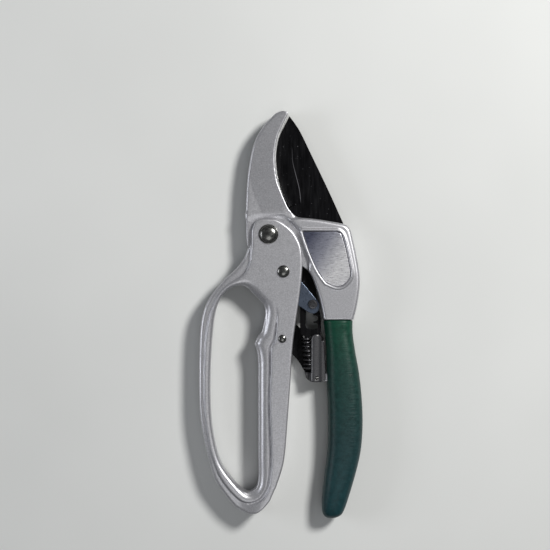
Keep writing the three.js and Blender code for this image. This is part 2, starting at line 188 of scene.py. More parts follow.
CRESCENT = outline(
    (-11.5, 8.2),
    [(-11.7, 15.3), (-10.7, 30.9), (-8.1, 45.2), (-3.5, 54.7), (2.1, 61.2)],
    [(4.4, 63.0), (7.4, 63.8), (9.9, 63.0)],
    *lines(beside(CUTTING_EDGE, JAW_FACE)),
    [(12.3, 10.9), (14.8, 9.0), (16.8, 8.3)],
    [(18.5, 3.0)],
    [(14.4, 4.4)],
    [(10.9, 7.8)],
    [(8.6, 9.4), (4.3, 9.9), (-0.1, 9.9), (-4.4, 9.9), (-7.4, 9.4), (-9.8, 8.2)],
)
HUB = outline(
    (-11.5, 10.5),
    [(-11.4, -1.0)],
    [(-11.2, -4.2)],
    *arc(PIVOT, HUB_RADIUS, -155, -60, 24),
    [(14.0, -14.0)],
    [(22.0, -20.0)],
    [(24.0, 6.5)],
    [(11.5, 7.8)],
    [(7.5, 12.5)],
)
HOUSING = outline(
    (10.3, 7.7),
    [(16.8, 8.5), (25.9, 7.7), (34.6, 6.2), (38.5, 5.4)],
    [(40.8, 4.2), (42.2, 2.4)],
    [(43.4, -1.9), (46.0, -14.4), (47.2, -25.0), (45.9, -36.0), (43.9, -44.2), (43.4, -46.5)],
    [(28.8, -46.5)],
    [(28.4, -44.2)],
    [(27.6, -39.3), (25.9, -32.0), (22.9, -23.2), (20.6, -19.0)],
    [(20.5, -12.4), (19.0, -4.6), (15.1, 2.7)],
)
BLADE_SLOT = outline(
    (10.0, 14.6),
    *arc(PIVOT, EYE_RADIUS + GAP, 46, 260, 30),
    [(-2.0, -16.0)],
    [(15.0, -36.0)],
    *arc(PIVOT, SWEEP_RADIUS, -50, 12, 24),
    [(20.0, 16.0)],
)
GRIP_RIGHT = [
    (43.7, -44.5), (43.7, -51.0), (45.0, -60.6), (47.0, -71.8), (48.4, -84.8), (48.9, -97.8),
    (48.1, -110.8), (46.0, -121.2), (42.7, -132.9), (39.2, -143.3), (36.6, -146.4), (32.6, -147.7),
]
GRIP_LEFT = [
    (28.6, -44.5), (29.4, -52.3), (30.1, -62.2), (30.4, -78.3), (30.9, -91.3), (30.9, -104.3),
    (30.4, -114.1), (28.8, -127.1), (27.7, -138.5), (28.0, -144.3), (29.9, -147.0), (32.2, -147.7),
]


def side_at(points, y):
    """The x of one side of the grip at a height."""
    curve = smooth(points)[::-1]
    return np.interp(y, curve[:, 1], curve[:, 0])


def tang(spread):
    """The outline of the bar inside the grip, or of its hole with that much room round it."""
    inset = TANG_INSET - spread
    levels = np.array([-62.0, -85.0, -104.0, -121.0, -134.0])
    left = list(zip(side_at(GRIP_LEFT, levels) + inset, levels))
    right = list(zip(side_at(GRIP_RIGHT, levels) - inset, levels))[::-1]
    foot = [(33.8, -139.5 - spread)]
    return outline((28.6 + inset, -42.0), left, foot, right, [(43.7 - inset, -42.0)])


def lug(spread):
    """The outline of the frame's lug inside the saddle, or of its hole."""
    return outline(
        (35.0, -71.9 + spread),
        [(23.0 - spread, -71.9 + spread)],
        [(23.0 - spread, -75.6 - spread)],
        [(25.5, -76.4 - spread)],
        [(35.0, -76.4 - spread)],
    )


def nameplate_outline(inset):
    """The recess's outline, or the plate's, which is that much smaller."""
    return outline(
        (17.6 + inset, 1.5 - inset),
        [(35.6 - inset, 1.4 - inset)],
        [(38.0 - inset, -0.6), (40.2 - inset, -8.1), (42.3 - inset, -18.1)],
        [(42.2 - inset, -22.0), (38.9, -26.1 + inset), (35.0, -27.0 + inset), (29.8, -25.0 + inset)],
        [(25.5 + inset, -18.9), (21.6 + inset, -10.3), (18.6 + inset, -2.0)],
    )


TAIL_SLOT = outline(
    (19.4, -37.2),
    [(19.4, -47.2)],
    [(19.7, -48.6), (21.2, -49.4), (23.8, -49.3)],
    *arc((24.3, -47.5), 1.6, -90, 110, 12),
    [(23.1, -45.6)],
    *arc((24.1, -43.6), 1.6, -110, 110, 12),
    [(22.9, -41.2)],
    [(23.6, -38.9)],
    *arc(LINK_PIN, 1.9, -60, 125, 14),
    [(20.3, -35.4)],
)
BLADE = outline(
    CUTTING_EDGE[0],
    CUTTING_EDGE[1:],
    *arc(PIVOT, EYE_RADIUS, 40, 300, 40),
    [(9.5, -11.5), (11.4, -17.0), (12.2, -24.0), (15.2, -32.0), (16.4, -38.0)],
    [(16.4, -49.5)],
    [(16.9, -52.0), (18.7, -52.9)],
    [(18.8, -56.2)],
    [(20.4, -56.2)],
    [(20.4, -52.9)],
    [(25.0, -52.9)],
    [(26.6, -52.3), (27.2, -50.6)],
    [(27.2, -43.0)],
    [(26.0, -37.5), (24.8, -32.0), (25.4, -27.0), (30.5, -17.0), (36.3, -6.0), (38.6, 1.0), (38.7, 5.9)],
    [(32.2, 20.4), (26.9, 31.6), (21.6, 42.6), (16.0, 54.0), (10.8, 61.5)],
)
RAIL = outline(
    (-8.7, -3.0),
    [(-10.4, -6.2), (-11.6, -9.8), (-13.4, -13.6), (-17.4, -18.5), (-23.1, -23.7), (-31.2, -34.1),
     (-34.7, -44.5), (-35.8, -60.1), (-36.0, -80.0), (-35.4, -93.9), (-33.3, -106.9), (-30.9, -117.3),
     (-27.3, -127.7), (-19.8, -138.1), (-15.3, -142.3), (-10.2, -144.7)],
    [(-6.2, -144.2), (-2.6, -141.6), (0.8, -137.6)],
    [(4.0, -130.0)],
    [(5.0, -60.0)],
    [(6.0, -30.0)],
    [(-4.0, -14.0)],
)
FINGER_HOLE = outline(
    (-5.3, -117.8),
    [(-5.2, -125.1), (-6.1, -130.3), (-9.4, -133.3), (-13.0, -132.6), (-18.3, -127.7), (-25.2, -117.3),
     (-29.0, -101.7), (-30.2, -86.1), (-30.1, -68.0), (-28.9, -49.7), (-27.3, -39.3), (-24.0, -31.7),
     (-19.0, -27.6), (-14.8, -26.6), (-11.2, -27.6), (-6.1, -32.4), (-2.7, -36.2), (-1.7, -41.0),
     (-3.4, -49.7), (-5.5, -52.8), (-7.3, -56.5)],
    [(-6.0, -60.5), (-5.3, -65.8)],
)
BAR_SIDE = [
    (1.3, -117.8), (0.7, -100.0), (0.3, -86.1), (0.8, -70.5), (1.0, -60.0), (3.0, -54.9), (3.9, -48.0),
]
GROOVE_SIDE = [
    (-12.5, -138.4), (-8.5, -138.9), (-4.5, -137.2), (-1.5, -133.6), (0.2, -128.6), *BAR_SIDE,
]
GROOVE = outline(
    (-6.0, -8.0),
    [(-8.6, -11.5), (-10.2, -15.8), (-12.2, -19.8), (-15.2, -22.6), (-20.9, -26.2), (-25.2, -30.4),
     (-28.3, -36.1), (-30.4, -42.3), (-32.0, -49.7), (-33.0, -60.1), (-33.3, -80.0), (-32.7, -93.9),
     (-30.8, -106.9), (-28.2, -117.3), (-24.0, -126.8), (-17.5, -134.8), *GROOVE_SIDE],
    [(6.5, -40.0)],
    [(9.0, -30.0)],
    [(9.0, -2.0)],
    [(0.0, 5.0)],
)
CREASE = [(-16.0, -136.2), *GROOVE_SIDE, (4.3, -40.0)]  # the sharp part of the groove, beside the bar
BAR = outline(
    (-8.7, -6.0),
    [(-8.7, 1.8)],
    [(-7.0, 6.4), (-4.4, 7.6), (-0.1, 8.1), (4.3, 7.4), (8.6, 4.9), (12.9, 1.0), (16.0, -4.6), (17.3, -10.3),
     (17.4, -18.0), (16.4, -28.9), (14.2, -44.5), (12.5, -57.5), (11.2, -77.3), (9.5, -100.7),
     (8.6, -112.1), (7.1, -120.8), (3.6, -131.4)],
    [(1.0, -133.6)],
    [(-0.2, -129.3), *BAR_SIDE, (4.0, -39.5), (1.5, -32.5), (-4.0, -26.0), (-8.0, -21.0), (-9.6, -15.0)],
)
FORK = outline(
    (30.0, 20.0),
    [(-20.0, 20.0)],
    [(-20.0, -2.6)],
    *arc(PIVOT, HUB_RADIUS + GAP + 0.05, -168, -110, 20),
    [(-2.0, -20.0)],
    [(3.0, -34.0)],
    [(2.6, -58.0)],
    [(5.0, -64.0)],
    [(30.0, -64.0)],
)
LINK = outline(
    (10.6, -16.6),
    [(25.2, -34.1)],
    [(26.3, -35.8), (26.5, -38.0), (25.3, -40.2), (23.0, -41.1), (20.6, -40.3)],
    [(10.4, -33.5)],
    [(6.0, -29.5), (3.4, -24.5), (3.0, -20.0), (4.3, -16.9), (7.2, -15.4), (10.6, -16.6)],
)
CATCH = outline(
    (9.8, -46.8),
    [(14.0, -46.8), (17.0, -49.6), (18.2, -54.0), (19.4, -60.5), (21.2, -67.0), (22.3, -71.5)],
    [(23.0, -74.1)],
    [(24.8, -72.5)],
    [(26.0, -73.8)],
    [(23.3, -76.1)],
    [(19.7, -72.8), (15.8, -66.3), (12.7, -62.9), (6.3, -57.4)],
    [(3.9, -55.6), (3.6, -52.9), (4.8, -49.6), (7.0, -47.5), (9.8, -46.8)],
)
SADDLE = outline(
    (18.8, -71.6),
    [(21.9, -71.6)],
    [(21.9, -56.0)],
    [(22.3, -53.2), (24.4, -51.8), (27.2, -52.5), (28.8, -55.0)],
    [(29.8, -75.0)],
    [(28.6, -76.4), (22.0, -76.4), (19.4, -74.4)],
)


# -------------------- solids


def ramp(value, low, high):
    """0 below low, 1 above high and a smooth rise between."""
    t = np.clip((value - low) / (high - low), 0, 1)
    return t * t * (3 - 2 * t)


def blended_min(a, b, k):
    """The join of two solids, with a fillet about k wide."""
    if np.all(np.equal(k, 0)):
        return np.minimum(a, b)
    h = np.maximum(k - np.abs(a - b), 0) / k
    return np.minimum(a, b) - h * h * k / 4


class Solid:
    """A casting, as the signed distance at each point of a grid over a box."""

    MARGIN = 2.5  # grid steps round the box
    BAND = 3  # grid steps that the distance is kept to, on each side of the surface
    FAR = 1e3  # the distance before anything is added

    def __init__(self, low, high, step):
        self.step = step
        self.low = np.array(low, float) - self.MARGIN * step
        counts = np.ceil((np.array(high) + self.MARGIN * step - self.low) / step).astype(int) + 1
        axes = [self.low[i] + step * np.arange(counts[i]) for i in range(3)]
        self.px, self.py = np.meshgrid(axes[0], axes[1], indexing="ij")
        self.z = axes[2][None, None, :]
        self.value = np.full(tuple(counts), self.FAR, np.float32)

    def squared_distance(self, a, b):
        """The squared distance to the straight line from one point to another, seen from above."""
        edge = b - a
        wx, wy = self.px - a[0], self.py - a[1]
        t = np.clip((wx * edge[0] + wy * edge[1]) / (edge @ edge), 0, 1)
        return (wx - t * edge[0]) ** 2 + (wy - t * edge[1]) ** 2

    def plan(self, *loops):
        """The signed distance to an outline, with its holes, seen from above."""
        nearest = np.full(self.px.shape, self.FAR**2)
        inside = np.zeros(self.px.shape, bool)
        for loop in loops:
            for a, b in zip(loop, np.roll(loop, -1, axis=0)):
                nearest = np.minimum(nearest, self.squared_distance(a, b))
                edge = b - a
                if edge[1] != 0:
                    crosses = (a[1] > self.py) != (b[1] > self.py)
                    inside ^= crosses & (self.px < edge[0] * (self.py - a[1]) / edge[1] + a[0])
        return np.where(inside, -1, 1) * np.sqrt(nearest)

    def path(self, points):
        """The distance to an open path, seen from above."""
        nearest = np.full(self.px.shape, self.FAR**2)
        for a, b in zip(points[:-1], points[1:]):
            nearest = np.minimum(nearest, self.squared_distance(a, b))
        return np.sqrt(nearest)

    def disc(self, centre, radius):
        return np.hypot(self.px - centre[0], self.py - centre[1]) - radius

    def slab(self, plan, low, high, rounding=0.0, lift=None):
        """A plate of that plan between two heights, with its edges rounded inside its outline.

        The rounding may be one for each point seen from above, and lift is how much thicker each point is.
        """
        if isinstance(rounding, np.ndarray):
            rounding = rounding[:, :, None]
        q = plan[:, :, None] + rounding
        rise = np.abs(self.z - (low + high) / 2) - (high - low) / 2 + rounding
        if lift is not None:
            rise = rise - lift[:, :, None]
        corner = np.hypot(np.maximum(q, 0), np.maximum(rise, 0))
        return (corner + np.minimum(np.maximum(q, rise), 0) - rounding).astype(np.float32)

    def add(self, other, k=0.3):
        self.value = blended_min(self.value, other, k)

    def cut(self, other, k=0.25):
        self.value = -blended_min(-self.value, other, k)

    def drill(self, centre, radius, low=-10, high=10):
        self.cut(self.slab(self.disc(centre, radius), low, high))

    def mesh(self, name):
        """The solid's surface as a new object in the row frame."""
        band = self.BAND * self.step
        grid = openvdb.FloatGrid(band)
        grid.copyFromArray(np.clip(self.value, -band, band).astype(np.float32))
        points, quads = grid.convertToQuads(isovalue=0.0)
        return new_object(name, points * self.step + self.low, quads, smooth_shading=True)


def to_row(points):
    """Millimetres about the main pivot to metres in the row frame."""
    return np.asarray(points, float) * MM + ORIGIN


def new_object(name, points, faces, smooth_shading=False):
    data = bpy.data.meshes.new(name)
    data.from_pydata(to_row(points).tolist(), [], [list(map(int, f)) for f in faces])
    data.update()
    if smooth_shading:
        data.shade_smooth()
    return add_to_scene(name, data)


def add_to_scene(name, data):
    made = bpy.data.objects.new(name, data)
    bpy.context.scene.collection.objects.link(made)
    return made


@contextlib.contextmanager
def edited(data):
    """A mesh opened for editing and written back at the end."""
    bm = bmesh.new()
    bm.from_mesh(data)
    yield bm
    bm.to_mesh(data)
    bm.free()


def largest_part(thing):
    """Drops loose specks that the grid leaves at a thin edge."""
    with edited(thing.data) as bm:
        left = set(bm.verts)
        groups = []
        while left:
            group, front = set(), [left.pop()]
            while front:
                vertex = front.pop()
                group.add(vertex)
                for e in vertex.link_edges:
                    other = e.other_vert(vertex)
                    if other in left:
                        left.discard(other)
                        front.append(other)
            groups.append(group)
        keep = max(groups, key=len)
        bmesh.ops.delete(bm, geom=[v for v in bm.verts if v not in keep], context="VERTS")
    return thing


def plate(name, loops, low, high, edge, segments=3):
    """A cut plate: outlines (the first outside, the others holes) between two heights, with rounded edges."""
    flat, faces = triangulated(loops)
    return thick_sheet(name, flat, faces, lambda p: low, lambda p: high, edge, segments)


def triangulated(loops, paths=()):
    """The points and triangles of a flat area inside its loops, with edges along the loops and open paths."""
    edges, start = [], 0
    for line in [*loops, *paths]:
        edges += [(start + i, start + i + 1) for i in range(len(line) - 1)]
        if start < sum(map(len, loops)):
            edges.append((start + len(line) - 1, start))
        start += len(line)
    points = [Vector(p) for p in np.concatenate([*loops, *paths])]
    found = geometry.delaunay_2d_cdt(points, edges, [], 1, 1e-6)
    flat = np.array([tuple(v) for v in found[0]])
    return flat, [f for f in found[2] if inside_loops(flat[list(f)].mean(axis=0), loops)]


def inside_loops(point, loops):
    """Whether a point is inside the first loop and outside the others, which are holes in it."""
    odd = False
    for loop in loops:
        for a, b in zip(loop, np.roll(loop, -1, axis=0)):
            if (a[1] > point[1]) != (b[1] > point[1]):
                if point[0] < (b[0] - a[0]) * (point[1] - a[1]) / (b[1] - a[1]) + a[0]:
                    odd = not odd
    return odd


def thick_sheet(name, flat, faces, bottom, top, edge=0.0, segments=3):
    """Flat triangles given an upper and a lower surface, joined by a wall all round, with rounded edges."""
    n = len(flat)
    points = [(*p, top(p)) for p in flat] + [(*p, bottom(p)) for p in flat]
    directed = set()
    oriented = []
    for f in faces:
        a, b, c = (flat[i] for i in f)
        turn = (b[0] - a[0]) * (c[1] - a[1]) - (b[1] - a[1]) * (c[0] - a[0])
        oriented.append(tuple(f) if turn > 0 else tuple(f)[::-1])
    for f in oriented:
        for i in range(3):
            directed.add((f[i], f[(i + 1) % 3]))
    walls = [(b, a, a + n, b + n) for a, b in directed if (b, a) not in directed]
    under = [tuple(i + n for i in f[::-1]) for f in oriented]
    made = new_object(name, points, oriented + under + walls)
    if edge:
        join_flat_faces(made.data)
        bevel = made.modifiers.new("edges", "BEVEL")
        bevel.width = edge * MM
        bevel.segments = segments
        bevel.limit_method = "ANGLE"
        bevel.angle_limit = CORNER
        bevel.harden_normals = True
    made.data.shade_smooth()
    return made


def join_flat_faces(data):
    """Joins the triangles of each flat face, so that no thin one is left to catch the light."""
    with edited(data) as bm:
        bmesh.ops.dissolve_limit(bm, angle_limit=FLAT, verts=bm.verts, edges=bm.edges)


def turned(name, centre, profile, sides=72):
    """A piece turned about an upright axis, from its profile of radii and heights, in order.

    The profile goes from the axis up and back to it, or round a ring's section.
    """
    rings = [(r, z) for r, z in profile if r > 0]
    closed = profile[0][0] > 0
    points, faces = [], []
    for r, z in rings:
        for k in range(sides):
            a = 2 * math.pi * k / sides
            points.append((centre[0] + r * math.cos(a), centre[1] + r * math.sin(a), z))
    spans = len(rings) if closed else len(rings) - 1
    for i in range(spans):
        j = (i + 1) % len(rings)
        for k in range(sides):
            m = (k + 1) % sides
            faces.append((i * sides + k, i * sides + m, j * sides + m, j * sides + k))
    if not closed:
        points.append((*centre, profile[0][1]))
        points.append((*centre, profile[-1][1]))
        low, high, last = len(points) - 2, len(points) - 1, (len(rings) - 1) * sides
        for k in range(sides):
            m = (k + 1) % sides
            faces.append((low, m, k))
            faces.append((high, last + k, last + m))
    made = new_object(name, points, faces, smooth_shading=True)
    split = made.modifiers.new("corners", "EDGE_SPLIT")
    split.split_angle = CORNER
    return made


def dome(radius, base, height, steps=10):
    """The profile of a domed head, from its rim to the axis."""
    rise = [(radius * math.cos(a), base + height * math.sin(a)) for a in np.linspace(0, math.pi / 2, steps)]
    return [*rise[:-1], (0.0, base + height)]


# -------------------- materials


MIX_SHARE, MIX_A, MIX_B, MIX_RESULT = 0, 6, 7, 2  # a Mix node's sockets when it mixes colours


class Shader:
    """A procedural material on one Principled shader, in the object's own coordinates."""

    def __init__(self, name, color, metallic, roughness, specular=0.5):
        self.material = bpy.data.materials.new(name)
        self.material.use_nodes = True
        self.tree = self.material.node_tree
        self.shader = self.tree.nodes["Principled BSDF"]
        self.place = self.tree.nodes.new("ShaderNodeTexCoord").outputs["Object"]
        self.set("Base Color", (*color, 1.0))
        self.set("Metallic", metallic)
        self.set("Roughness", roughness)
        self.set("Specular IOR Level", specular)

    def set(self, socket, value):
        self.shader.inputs[socket].default_value = value

    def node(self, kind, **values):
        """A new node, with values for its sockets and its properties."""
        made = self.tree.nodes.new(kind)
        for key, value in values.items():
            if key in made.inputs:
                made.inputs[key].default_value = value
            else:
                setattr(made, key, value)
        return made

    def link(self, out, into):
        self.tree.links.new(out, into)

    def stretched(self, scale):
        """The object's coordinates, scaled by three factors."""
        mapping = self.node("ShaderNodeMapping")
        mapping.inputs["Scale"].default_value = scale
        self.link(self.place, mapping.inputs["Vector"])
        return mapping.outputs["Vector"]

    def noise(self, size_mm, detail=3.0, rough=0.5, stretch=(1, 1, 1)):
        """Noise whose grains are about that size, in millimetres."""
        made = self.node("ShaderNodeTexNoise", Scale=1.0 / (size_mm * MM), Detail=detail, Roughness=rough)
        self.link(self.stretched(stretch), made.inputs["Vector"])
        return made.outputs["Fac"]

    def spread(self, value, low, high, into=(0.3, 0.7)):
        """A value spread over a range."""
        made = self.node("ShaderNodeMapRange")
        for socket, number in zip(("From Min", "From Max", "To Min", "To Max"), (*into, low, high)):
            made.inputs[socket].default_value = number
        self.link(value, made.inputs["Value"])
        return made.outputs["Result"]

    def ramp(self, value, stops):
        made = self.node("ShaderNodeValToRGB")
        ramp = made.color_ramp
        while len(ramp.elements) < len(stops):
            ramp.elements.new(0.5)
        for element, (position, color) in zip(ramp.elements, stops):
            element.position = position
            element.color = (*color, 1.0)
        self.link(value, made.inputs["Fac"])
        return made.outputs["Color"]

    def gradient(self, start, end):
        """0 at one place and 1 at another, both in millimetres about the main pivot."""
        start, end = Vector(to_row((*start, 0.0))), Vector(to_row((*end, 0.0)))
        step = end - start
        away = self.node("ShaderNodeVectorMath", operation="SUBTRACT")
        away.inputs[1].default_value = start
        self.link(self.place, away.inputs[0])
        share = self.node("ShaderNodeVectorMath", operation="DOT_PRODUCT")
        share.inputs[1].default_value = step / step.length_squared
        self.link(away.outputs["Vector"], share.inputs[0])
        return share.outputs["Value"]

    def bump(self, height, strength, depth_mm, under=None):
        made = self.node("ShaderNodeBump", Strength=strength, Distance=depth_mm * MM)
        self.link(height, made.inputs["Height"])
        if under:
            self.link(under, made.inputs["Normal"])
        return made.outputs["Normal"]

    def mix(self, a, b, share, mode="MIX"):
        made = self.node("ShaderNodeMix", data_type="RGBA", blend_type=mode)
        for value, number in ((share, MIX_SHARE), (a, MIX_A), (b, MIX_B)):
            socket = made.inputs[number]
            if isinstance(value, bpy.types.NodeSocket):
                self.link(value, socket)
            else:
                socket.default_value = value if isinstance(value, float) else (*value, 1.0)
        return made.outputs[MIX_RESULT]

    def feed(self, socket, value):
        self.link(value, self.shader.inputs[socket])


def cast_silver():
    """Fine satin silver spray over a casting."""
    s = Shader("cast_silver", (0.45, 0.45, 0.47), 0.8, 0.38)
    sparkle = s.noise(0.6, detail=3.0)
    cloud = s.noise(14.0, detail=4.0)
    tone = s.ramp(s.spread(cloud, 0.0, 1.0), [(0.0, (0.507, 0.507, 0.532)), (1.0, (0.533, 0.533, 0.558))])
    grains = s.ramp(sparkle, [(0.35, (0.36, 0.36, 0.38)), (0.7, (0.62, 0.62, 0.645))])
    s.feed("Base Color", s.mix(tone, grains, 0.6))
    s.feed("Roughness", s.spread(s.noise(1.2), 0.36, 0.395))
    fine = s.bump(sparkle, 0.32, 0.025)
    s.feed("Normal", s.bump(s.noise(5.0, detail=2.0), 0.012, 0.1, under=fine))
    return s.material


def black_coating():
    """Satin black non-stick coat with faint drag marks, a few pale specks, and a painted highlight along the
    ground face's crease.
    """
    s = Shader("black_coating", (0.004, 0.004, 0.0045), 0.0, 0.2, specular=0.09)
    marks = s.noise(1.2, detail=5.0, stretch=(1.0, 0.12, 1.0))
    body = s.ramp(marks, [(0.35, (0.0028, 0.0028, 0.0032)), (0.75, (0.008, 0.008, 0.009))])
    specks = s.spread(s.noise(0.9, detail=1.0), 0.0, 1.0, into=(0.745, 0.775))
    # Painted highlight: a paler line along the crease where the ground face starts, carried by a mesh
    # attribute
    crease_highlight = s.node("ShaderNodeAttribute", attribute_name="crease_highlight").outputs["Fac"]
    body = s.mix(body, (0.09, 0.09, 0.095), specks)
    s.feed("Base Color", s.mix(body, (0.14, 0.14, 0.15), crease_highlight))
    s.feed("Roughness", s.spread(marks, 0.16, 0.3))
    s.feed("Normal", s.bump(s.noise(0.7, detail=3.0), 0.06, 0.05))
    return s.material


def polished_steel():
    s = Shader("polished_steel", (0.22, 0.22, 0.21), 1.0, 0.2)
    scuff = s.noise(0.9, detail=5.0)
    s.feed("Base Color", s.ramp(scuff, [(0.3, (0.11, 0.11, 0.105)), (0.7, (0.26, 0.26, 0.25))]))
    s.feed("Roughness", s.spread(scuff, 0.15, 0.28))
    s.feed("Normal", s.bump(s.noise(0.35, detail=4.0), 0.10, 0.03))
    return s.material


# Painted shade and highlight on the nameplate, from its dark corner to its bright one
PLATE_PAINTED_SHADING = [(0.0, (0.13, 0.14, 0.20)), (0.45, (0.42, 0.43, 0.50)), (1.0, (1.0, 1.0, 1.0))]


def brushed(name, low, high, roughness, grain, stretch=(1.0, 1.0, 1.0), painted_shading=None):
    """Brushed metal: long fine scratches one way, and painted shade and highlight that may run from one place
    to another.
    """
    s = Shader(name, high, 0.85, roughness)
    scratch = s.noise(grain, detail=3.0, stretch=stretch)
    tone = s.ramp(scratch, [(0.3, low), (0.7, high)])
    if painted_shading:
        # Painted shade and highlight, multiplied over the brushed tone
        tone = s.mix(tone, s.ramp(s.gradient(*painted_shading), PLATE_PAINTED_SHADING), 1.0, "MULTIPLY")
    s.feed("Base Color", tone)
    s.feed("Roughness", s.spread(scratch, roughness - 0.06, roughness + 0.08))
    s.feed("Normal", s.bump(scratch, 0.12, 0.02))
    return s.material


def grip_vinyl():
    """Dipped vinyl: green, bluer towards the foot, with faint rings across it and a fine orange-peel skin."""
    s = Shader("grip_vinyl", (0.010, 0.042, 0.03), 0.0, 0.42, specular=0.26)
    body = s.ramp(s.gradient((36.0, GRIP_TOP), (36.0, GRIP_FOOT)), [
        (0.0, (0.0020, 0.048, 0.026)), (0.25, (0.0070, 0.039, 0.031)), (0.6, (0.0105, 0.036, 0.038)),
        (1.0, (0.0085, 0.042, 0.050)),
    ])
    mottle = s.noise(2.0, detail=6.0, rough=0.7)
    body = s.mix(body, s.ramp(mottle, [(0.3, (0.45, 0.5, 0.5)), (0.7, (1.3, 1.25, 1.25))]), 0.8, "MULTIPLY")
    s.feed("Base Color", body)
    rings = s.noise(0.5, detail=2.0, stretch=(0.06, 1.0, 0.06))
    s.feed("Roughness", s.spread(mottle, 0.34, 0.5))
    skin = s.bump(s.noise(0.5, detail=3.0), 0.4, 0.06)
    s.feed("Normal", s.bump(rings, 0.85, 0.14, under=skin))
    return s.material


def dark_plastic():
    s = Shader("dark_plastic", (0.016, 0.016, 0.018), 0.0, 0.3, specular=1.0)
    grain = s.noise(0.35, detail=3.0)
    s.feed("Base Color", s.ramp(grain, [(0.3, (0.024, 0.024, 0.027)), (0.7, (0.048, 0.048, 0.053))]))
    s.feed("Roughness", s.spread(grain, 0.25, 0.36))
    s.feed("Normal", s.bump(grain, 0.15, 0.04))
    return s.material


MATERIALS = {
    "cast_silver": cast_silver(),
    "black_coating": black_coating(),
    "polished_steel": polished_steel(),
    "link_steel": brushed(
        "link_steel", (0.09, 0.115, 0.16), (0.125, 0.15, 0.20), 0.30, 0.2, (1.0, 0.15, 1.0),
    ),
    "spring_steel": brushed("spring_steel", (0.05, 0.05, 0.054), (0.12, 0.12, 0.128), 0.28, 0.3),
    "nameplate": brushed(
        "nameplate", (0.84, 0.835, 0.86), (0.96, 0.955, 0.97), 0.30, 0.3, (0.12, 1.0, 1.0),
        # Painted shade and highlight: darker at the upper left, brighter at the lower right
        painted_shading=((19.0, -6.0), (36.0, -16.0)),
    ),
    "anvil_insert": brushed(
        "anvil_insert", (0.84, 0.84, 0.84), (0.95, 0.95, 0.94), 0.34, 0.25, (1.0, 0.1, 1.0),
    ),
    "bronze_bush": brushed(
        "bronze_bush", (0.40, 0.29, 0.13), (0.58, 0.44, 0.22), 0.35, 0.3, (1.0, 1.0, 0.1),
    ),
    "grip_vinyl": grip_vinyl(),
    "dark_plastic": dark_plastic(),
}


def finish(thing, slot, body, *stands_for):
    """Gives a piece its material and its body, and hides the CAD nodes that it stands for."""
    thing.data.materials.append(MATERIALS[slot])
    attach(thing, body)
    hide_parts(*stands_for)


# -------------------- frame body


def anvil_frame():
    """The frame casting. Its crescent is sharp and thickest at the cutting edge, and thins away from it."""
    s = Solid((-12.0, -140.5, -HOUSING_HALF), (47.6, 64.0, HOUSING_HALF), GRID)
    recess = s.plan(nameplate_outline(0))
    from_edge = s.path(smooth(CUTTING_EDGE))
    soft = 0.05 + 1.15 * ramp(from_edge, 2.5, 5.5)
    thinner = -0.1 * np.clip(from_edge - 1.5, 0, 13)
    s.add(s.slab(s.plan(CRESCENT), -CRESCENT_HALF, CRESCENT_HALF, soft, lift=thinner))
    s.add(s.slab(s.plan(HUB), -HUB_HALF, HUB_HALF, 0.4), 2.4)
    s.add(s.slab(s.plan(HOUSING), -HOUSING_HALF, HOUSING_HALF, 1.7), 0.8)
    rim_out, rim_sunk, rim_radius = 0.8, 0.2, 0.75
    rim = np.hypot((recess - rim_out)[:, :, None], s.z - HOUSING_HALF + rim_sunk)
    s.add(rim - rim_radius, 0.4)
    s.cut(s.slab(s.py - HOUSING_FOOT, -THROUGH, THROUGH))
    s.add(s.slab(s.plan(tang(0)), -TANG_HALF, TANG_HALF, 0.8))
    s.add(s.slab(s.plan(lug(0)), -LUG_HALF, LUG_HALF, 0.2))
    s.cut(s.slab(s.plan(BLADE_SLOT), -SLOT_HALF, SLOT_HALF))
    s.drill(PIVOT, BUSH_RADIUS + 0.1)
    s.cut(s.slab(recess, PLATE_FLOOR, HOUSING_HALF + 5, 0.3), 0.6)
    s.drill(SADDLE_PIN, 1.0, -3, 3)
    return largest_part(s.mesh("frame_casting"))


def insert_strip():
    """The strip along the jaw's edge, which narrows over its last steps at the lower end."""
    edge = CUTTING_EDGE[:-1]
    near, far = beside(edge, INSERT_NEAR), beside(edge, INSERT_FAR)
    taper_steps, narrowest = 8, 0.15
    width = np.clip(np.arange(len(near))[::-1] / taper_steps, narrowest, 1)[:, None]
    loop = np.concatenate([far + (near - far) * width, far[::-1]])
    return plate("insert_strip", [loop], -INSERT_HALF, INSERT_HALF, 0.15, 2)


def nameplate():
    outside = nameplate_outline(0.35)
    return plate("blank_nameplate", [outside], PLATE_FLOOR + 0.05, PLATE_FLOOR + 0.65, 0.25)


def grip():
    """Oval sections along the grip, rounded off at the foot and a little at the top."""
    s = Solid((27.0, GRIP_FOOT, -BAR_HALF), (49.0, GRIP_TOP, BAR_HALF), GRID)
    left, right = side_at(GRIP_LEFT, s.py), side_at(GRIP_RIGHT, s.py)
    half = np.maximum((right - left) / 2, 0.05)
    depth = np.minimum(BAR_HALF, 1.02 * half + 0.1)
    across = (np.abs(s.px - (left + right) / 2) / half)[:, :, None]
    through = np.abs(s.z) / depth[:, :, None]
    power = 2.5  # 2 is an ellipse, and more is squarer
    ring = (across**power + through**power) ** (1 / power)
    s.value = (ring - 1) * np.minimum(half, depth)[:, :, None]
    s.cut((s.py - GRIP_FOOT)[:, :, None], 1.6)
    s.cut((GRIP_TOP - s.py)[:, :, None], 0.5)
    s.cut(s.slab(s.plan(tang(GAP)), -TANG_HALF - GAP, TANG_HALF + GAP, 0.5))
    s.cut(s.slab(s.plan(lug(GAP)), -LUG_HALF - GAP, LUG_HALF + GAP))
    return largest_part(s.mesh("dipped_grip"))


